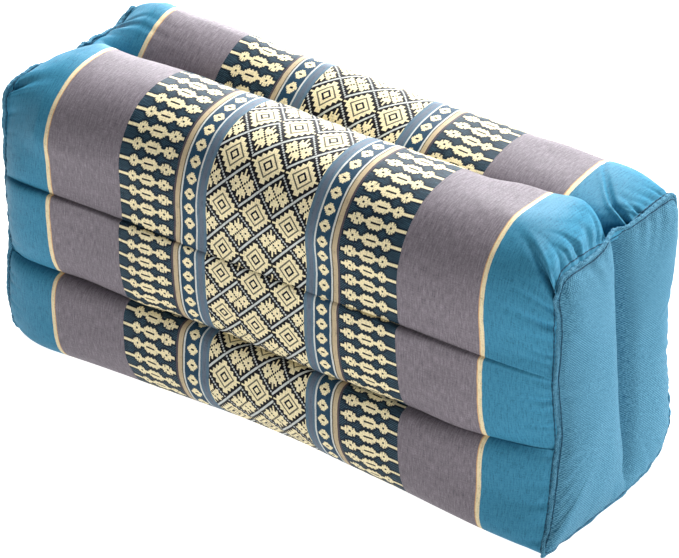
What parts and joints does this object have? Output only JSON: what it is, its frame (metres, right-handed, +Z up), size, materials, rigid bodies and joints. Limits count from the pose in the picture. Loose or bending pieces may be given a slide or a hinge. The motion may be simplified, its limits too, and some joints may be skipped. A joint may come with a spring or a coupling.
{
  "type": "block meditation cushion",
  "caption": "Block-shaped stuffed cushion in patterned woven cloth, sewn into channels, with plain grooved end panels and raised end seams.",
  "frame": {"origin": "middle of the cushion's bounding box, on the floor", "axes": "+X along the cushion's length, -Y out of the front face with its two sewn lines, +Z up from the floor"},
  "size_m": [0.3566, 0.1312, 0.1646],
  "materials": {
    "wrap_cloth": "patterned hand-woven cotton, matt",
    "plain_cloth": "plain blue woven cotton, matt",
    "seam_thread": "folded cloth edge and thread, matt"
  },
  "bodies": {
    "root": {"cushion_body": "wrap_cloth", "end_panel_left": "plain_cloth", "end_panel_right": "plain_cloth", "seam_left": "seam_thread", "seam_right": "seam_thread"}
  },
  "joints": []
}
